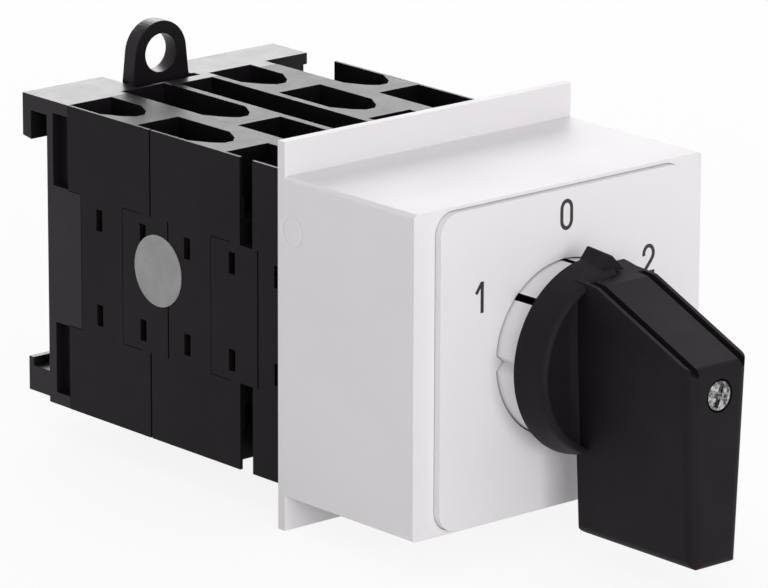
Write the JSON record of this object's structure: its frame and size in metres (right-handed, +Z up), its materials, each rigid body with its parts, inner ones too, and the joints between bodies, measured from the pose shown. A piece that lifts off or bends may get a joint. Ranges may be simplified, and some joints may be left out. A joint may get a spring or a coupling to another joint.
{
  "type": "rotary switch",
  "caption": "Rail-mounted cam changeover switch with stacked contact chambers, a white front cover with dial plate and a black turning knob.",
  "frame": {"origin": "on the shaft axis, in the plane where the rail touches the foot", "axes": "+Z up, +X right as seen from the front, +Y along the shaft towards the rail; the knob points along -Y"},
  "size_m": [0.0518, 0.1184, 0.0578],
  "materials": {
    "black_plastic": "fine moulded texture",
    "knob_plastic": "satin",
    "white_plastic": "satin",
    "cam_plastic": "satin",
    "steel": "zinc plated",
    "copper": "bare copper alloy with silver buttons",
    "bronze": "sintered",
    "paper": "printed film"
  },
  "bodies": {
    "switch_case": {"rail_foot": "black_plastic", "latch_spring": "steel", "rear_chamber": "black_plastic", "middle_chamber": "black_plastic", "front_chamber": "black_plastic", "detent_housing": "black_plastic", "detent_cover": "black_plastic", "rear_bearing": "bronze", "upper_springs": "steel", "lower_springs": "steel", "upper_fixed_contacts": "copper", "lower_fixed_contacts": "copper", "upper_clamps": "steel", "lower_clamps": "steel", "upper_terminal_screws": "steel", "lower_terminal_screws": "steel", "stop_plate": "steel", "upper_detent_spring": "steel", "lower_detent_spring": "steel", "tie_bolts": "steel", "tie_nuts": "steel", "front_cover": "white_plastic", "dial_plate": "white_plastic", "front_collar": "white_plastic", "inspection_label": "paper"},
    "rotor": {"knob": "knob_plastic", "knob_screw": "steel", "knob_washer": "steel", "shaft": "steel", "cam_1": "cam_plastic", "cam_2": "cam_plastic", "cam_3": "cam_plastic", "cam_4": "cam_plastic", "cam_5": "cam_plastic", "star_wheel": "cam_plastic"},
    "upper_contacts": {"upper_plungers": "cam_plastic", "upper_bridges": "copper"},
    "lower_contacts": {"lower_plungers": "cam_plastic", "lower_bridges": "copper"},
    "upper_detent": {"upper_detent_slide": "cam_plastic"},
    "lower_detent": {"lower_detent_slide": "cam_plastic"},
    "upper_roller": {"upper_detent_roller": "steel"},
    "lower_roller": {"lower_detent_roller": "steel"},
    "latch": {"rail_latch": "black_plastic"}
  },
  "joints": [
    {"name": "knob_turn", "type": "hinge", "parent": "switch_case", "child": "rotor", "pos_m": [0, -0.06, 0], "axis": [0, -1, 0], "range_deg": [-60, 60]},
    {"name": "upper_contact_lift", "type": "slide", "parent": "switch_case", "child": "upper_contacts", "axis": [0, 0, 1], "range_m": [-0.00151, 0.00151], "deforming": ["upper_springs"]},
    {"name": "lower_contact_lift", "type": "slide", "parent": "switch_case", "child": "lower_contacts", "axis": [0, 0, 1], "range_m": [-0.00151, 0.00151], "deforming": ["lower_springs"]},
    {"name": "upper_detent_lift", "type": "slide", "parent": "switch_case", "child": "upper_detent", "axis": [0, 0, 1], "range_m": [0, 0.0011], "stiffness_N_per_m": 4000, "springref_m": -0.002, "deforming": ["upper_detent_spring"]},
    {"name": "lower_detent_lift", "type": "slide", "parent": "switch_case", "child": "lower_detent", "axis": [0, 0, -1], "range_m": [0, 0.0011], "stiffness_N_per_m": 4000, "springref_m": -0.002, "deforming": ["lower_detent_spring"]},
    {"name": "upper_roller_spin", "type": "hinge", "parent": "upper_detent", "child": "upper_roller", "pos_m": [0, -0.06, 0.00955], "axis": [0, -1, 0], "continuous": true},
    {"name": "lower_roller_spin", "type": "hinge", "parent": "lower_detent", "child": "lower_roller", "pos_m": [0, -0.06, -0.00955], "axis": [0, -1, 0], "continuous": true},
    {"name": "latch_lift", "type": "slide", "parent": "switch_case", "child": "latch", "axis": [0, 0, 1], "range_m": [0, 0.003], "stiffness_N_per_m": 1500, "springref_m": -0.003, "deforming": ["latch_spring"]}
  ],
  "couplings": [
    {"joint": "upper_contact_lift", "follows": "knob_turn", "m_per_rad": -0.0014324},
    {"joint": "lower_contact_lift", "follows": "knob_turn", "m_per_rad": -0.0014324}
  ]
}
